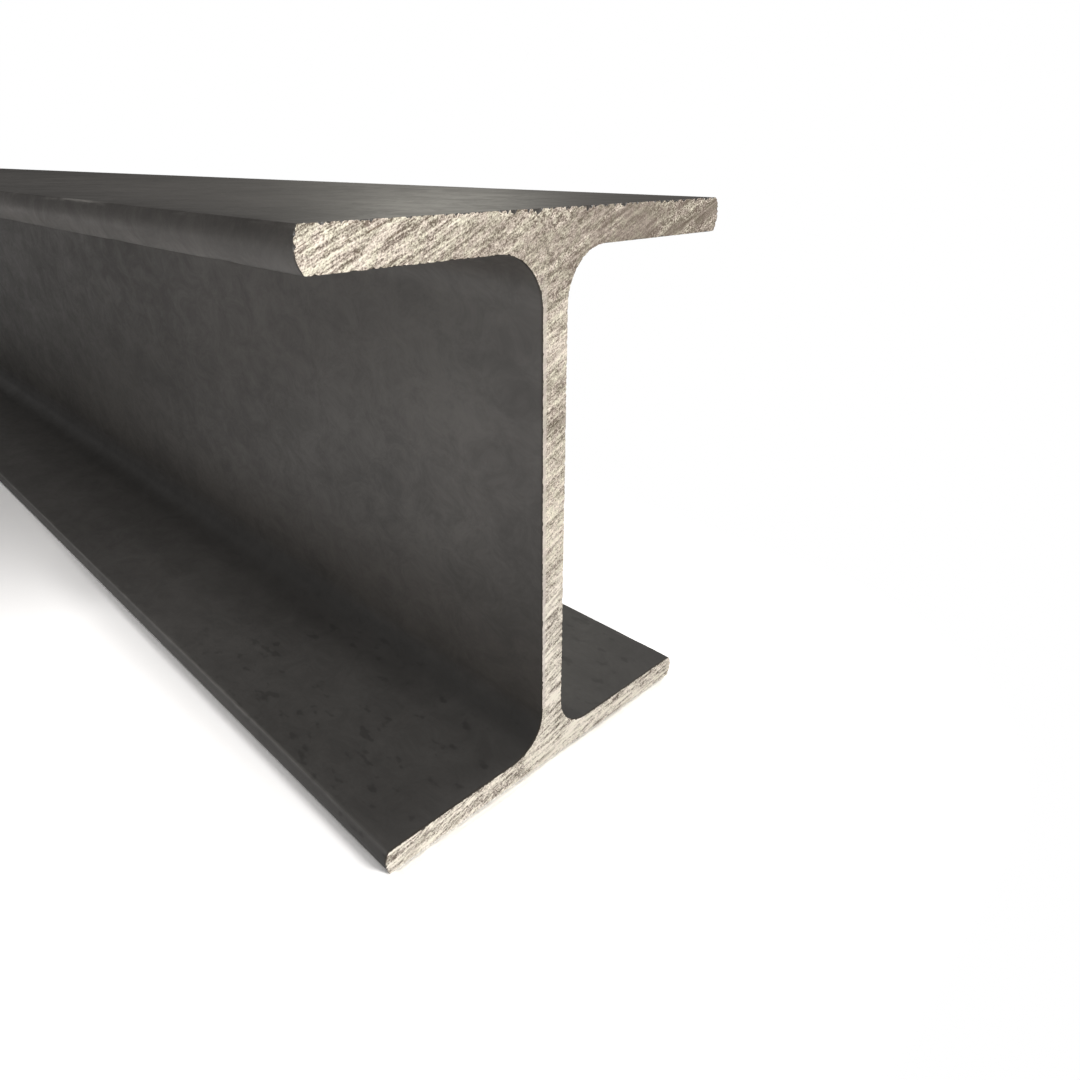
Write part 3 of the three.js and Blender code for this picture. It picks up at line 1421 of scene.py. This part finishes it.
@dataclass(frozen=True)
class Floor:
    """A pale floor with the beam's soft shadow, cast by the lamps and deepened by painted shadow close to the
    beam, plain white further out.

    To everything but the camera it also glows in a patch on the left, so the web has something to reflect.
    """

    side: float = 8.0
    colour: Colour = (0.92, 0.92, 0.92, 1.0)
    seen_colour: Colour = (3.82, 3.85, 3.88, 1.0)
    white_from: Span = (0.05, 0.14)
    painted_contact_shadow: tuple[Span, ...] = ((0.001, 0.026, 0.71, 1.0), (0.0, 0.0025, 1.22, 1.0))
    painted_shadow_held: Patch = Patch(x=((0.077, 0.068),), along=((-0.25, -0.15, 1.0, 0.15),))
    front: Patch = Patch(x=((-0.0765, -0.0705), (0.077, 0.068)), along=((-0.4975, -0.4985),))
    front_painted_shadow: tuple[Span, ...] = ((0.0, 0.0012, 0.283, 0.54), (0.0012, 0.0055, 1.0, 1.88))
    front_frays: tuple[Layer, ...] = (Layer((0.0008, 0.0008, 0.0008), 0.0024, 5.0, detail=2.0),)
    # A warm painted reflection of the cut on the floor just in front of it
    front_painted_reflection: Colour = (1.01, 1.0, 0.968, 1.0)
    reflection_reach: Span = (0.004, 0.0)
    glow_colour: Colour = ROOM_TINT
    glows: tuple[Patch, ...] = (
        Patch(x=((-0.6, -0.3, 5.0, 0.5), (0.0, -0.04)), along=((-0.7, -0.4), (0.17, -0.2))),
        Patch(0.15, x=((-0.2, -0.1), (0.0, -0.04)), along=((-0.7, -0.4), (0.17, -0.2))),
        Patch(0.4, x=((-0.3, -0.6),), along=((0.0, 0.6),)),
    )

    def lay(self) -> bpy.types.Object:
        """Lays the floor.

        Returns:
            The floor.
        """
        half = self.side / 2
        mesh = bpy.data.meshes.new("floor")
        corners = [(-half, -half, 0), (half, -half, 0), (half, half, 0), (-half, half, 0)]
        mesh.from_pydata(corners, [], [range(4)])
        floor = bpy.data.objects.new("floor", mesh)
        bpy.context.scene.collection.objects.link(floor)
        mesh.materials.append(self.material())
        return floor

    def material(self) -> bpy.types.Material:
        """Builds the material.

        Returns:
            The material.
        """
        material, board = new_material("floor")
        site = board.site(1.0)
        gap = self.from_beam(site)
        seen = board.add("ShaderNodeLightPath", {}, {}, "Is Camera Ray")
        lit = board.add("ShaderNodeBsdfDiffuse", {}, {"Color": self.paint(site, gap, seen)})
        plain = board.add("ShaderNodeEmission", {}, {"Color": WHITE})
        white = seen * board.ramp(gap, *self.white_from)
        shown = board.add("ShaderNodeMixShader", {}, {0: white, 1: lit, 2: plain})
        strength = site.total(0.0, *self.glows) * (1.0 - seen)
        glow = board.add("ShaderNodeEmission", {}, {"Color": self.glow_colour, "Strength": strength})
        board.surface(board.add("ShaderNodeAddShader", {}, {0: shown, 1: glow}))
        return material

    def paint(self, site: Site, gap: Wire, seen: Wire) -> Wire:
        """Paints the floor, with painted shadow close to the beam and a painted warm reflection just in front
        of the cut.

        Args:
            site: The point on the floor.
            gap: How far it is from the beam.
            seen: 1 where the camera sees the floor itself.

        Returns:
            The colour.
        """
        board = site.board
        front = site.on(self.front)
        tint = board.mix(front * board.ramp(gap, *self.reflection_reach), WHITE, self.front_painted_reflection)
        colour = board.vector("MULTIPLY", board.mix(seen, self.colour, self.seen_colour), tint)
        # Painted contact shadow, weaker further back and none on the right; in front of the cut a deeper,
        # ragged painted shadow
        shade = math.prod(board.ramp(gap, *span) for span in self.painted_contact_shadow)
        ragged = gap + board.layers(site.place, self.front_frays)
        ahead = math.prod(board.ramp(ragged, *span) for span in self.front_painted_shadow)
        shade = 1.0 - (1.0 - shade) * site.on(self.painted_shadow_held)
        return board.scaled(colour, shade * (1.0 + front * (ahead - 1.0)))

    def from_beam(self, site: Site) -> Wire:
        """Measures how far a point of the floor is from the beam.

        Args:
            site: The point on the floor.

        Returns:
            The distance, in metres.
        """
        board = site.board
        low, high = (Vector(corner) for corner in CAD_BOX)
        out = board.vector("ABSOLUTE", board.vector("SUBTRACT", site.place, (low + high) / 2))
        out = board.vector("MAXIMUM", board.vector("SUBTRACT", out, (high - low) / 2), (0.0, 0.0, 0.0))
        return board.vector("LENGTH", out, output="Value")


@dataclass(frozen=True)
class Studio:
    """The floor in a dim room with a white backdrop, soft lamps, and the camera."""

    sky: Span = (0.56, 0.87, 0.0, 0.36)
    rear_glow: float = 0.18
    left_glow: float = 0.10
    side_fall: Span = (0.56, 0.28)
    aim: tuple[float, float, float] = (0.0, -0.5, 0.09)
    lamps: tuple[Softbox, ...] = (
        Softbox("key", 170.0, 33.0, 1.2, 0.3, 0.3, 6.5, skips_floor=False),
        Softbox("fill", -155.0, 26.0, 1.6, 0.8, 0.8, 17.4),
        Softbox("side", -140.0, 48.0, 1.4, 0.5, 0.5, 9.5),
        Softbox("right", 98.0, 35.0, 1.4, 0.5, 0.5, 9.0),
        Softbox("rim", 38.0, 28.0, 2.5, 0.45, 0.5, 3.9, tint=(1.0, 0.97, 0.86)),
    )
    eye: tuple[float, float, float] = (-0.15390, -0.64628, 0.19954)
    pitch: float = math.radians(29.458)
    yaw: float = math.radians(45.285)
    lens: float = 24.833
    shift: tuple[float, float] = (0.0, 0.0334)
    near_clip: float = 0.01

    def build(self) -> None:
        """Makes the floor, the room's light, the lamps and the camera."""
        skipped = bpy.data.collections.new("skipped")
        skipped.objects.link(Floor().lay())
        skipped.collection_objects[0].light_linking.link_state = "EXCLUDE"
        self.add_room()
        for lamp in self.lamps:
            lamp.hang(Vector(self.aim), skipped)
        self.add_camera()
        bpy.context.scene.view_settings.view_transform = "Standard"

    def add_room(self) -> None:
        """Fills the room with dim light from above, behind and the left, in front of a white backdrop."""
        world = bpy.data.worlds.new("room")
        world.use_nodes = True
        world.node_tree.nodes.clear()
        board = NodeBoard(world.node_tree)
        right, back, up = board.axes(board.add("ShaderNodeTexCoord", {}, {}, "Generated"))
        sides = self.rear_glow * back.maths("MAXIMUM", 0.0) - self.left_glow * right.maths("MINIMUM", 0.0)
        glow = board.ramp(up, *self.sky) + sides * board.ramp(up, *self.side_fall)
        seen = board.add("ShaderNodeLightPath", {}, {}, "Is Camera Ray")
        tint = board.mix(seen, ROOM_TINT, WHITE)
        strength = glow + seen * (1.0 - glow)
        light = board.add("ShaderNodeBackground", {}, {"Color": tint, "Strength": strength})
        board.surface(light, "ShaderNodeOutputWorld")
        bpy.context.scene.world = world

    def add_camera(self) -> None:
        """Sets the camera in front of the near end."""
        camera = bpy.data.cameras.new("camera")
        camera.lens = self.lens
        camera.shift_x, camera.shift_y = self.shift
        camera.clip_start = self.near_clip
        holder = bpy.data.objects.new("camera", camera)
        holder.location = self.eye
        holder.rotation_euler = (math.pi / 2 - self.pitch, 0.0, -self.yaw)
        bpy.context.scene.collection.objects.link(holder)
        bpy.context.scene.camera = holder


def main() -> None:
    """Builds the beam and its studio, and reports each piece."""
    logging.basicConfig(level=logging.INFO, format="%(message)s")
    low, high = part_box(NODE)
    size = high - low
    beam = RolledBeam(RolledSection(width=size.x, depth=size.z), length=size.y)
    piece = beam.build()
    beam.dress(piece)
    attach(piece, "root")
    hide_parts(NODE)
    triangles = sum(len(face) - 2 for face in beam.stock.faces)
    LOG.info("%s: %d triangles", piece.name, triangles)
    Studio().build()
    LOG.info("studio: floor, room, lamps and camera")


if __name__ == "__main__":
    main()
